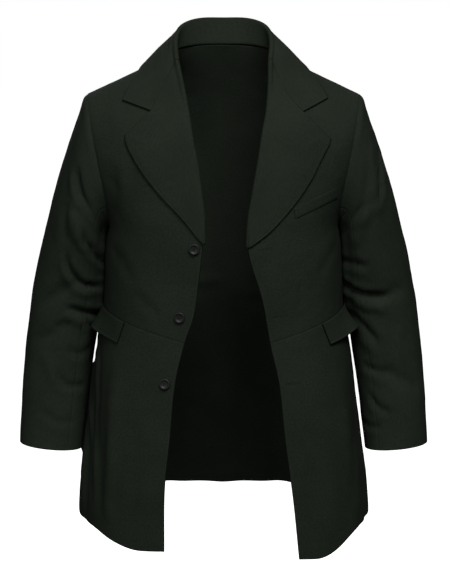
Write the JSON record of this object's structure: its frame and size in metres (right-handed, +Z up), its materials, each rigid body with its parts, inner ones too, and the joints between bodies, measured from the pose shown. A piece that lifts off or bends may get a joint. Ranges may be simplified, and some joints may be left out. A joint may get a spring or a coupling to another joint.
{
  "type": "town coat",
  "caption": "Thigh-length single-breasted town coat in dark cotton twill, worn open, with notch lapels, waist seam, pocket flaps and two-piece sleeves.",
  "frame": {"origin": "the middle of the neck opening, level with the neck ends of the shoulder seams, where a wearer's neck and shoulders hold the coat", "axes": "+Z up, +X to the wearer's left, -Y out of the front"},
  "size_m": [0.725, 0.3418, 0.9184],
  "materials": {
    "cloth": "matt black cotton twill with a faint green cast, pressed and lightly worn at the edges",
    "button": "dark horn-look button with a raised rim, satin"
  },
  "bodies": {
    "root": {"back": "cloth", "forepart_left": "cloth", "forepart_right": "cloth", "skirt_left": "cloth", "skirt_right": "cloth", "sleeve_top_left": "cloth", "sleeve_top_right": "cloth", "sleeve_under_left": "cloth", "sleeve_under_right": "cloth", "collar": "cloth", "lapel_left": "cloth", "lapel_right": "cloth", "flap_left": "cloth", "flap_right": "cloth", "breast_welt": "cloth", "button_top": "button", "button_middle": "button", "button_bottom": "button"}
  },
  "joints": []
}
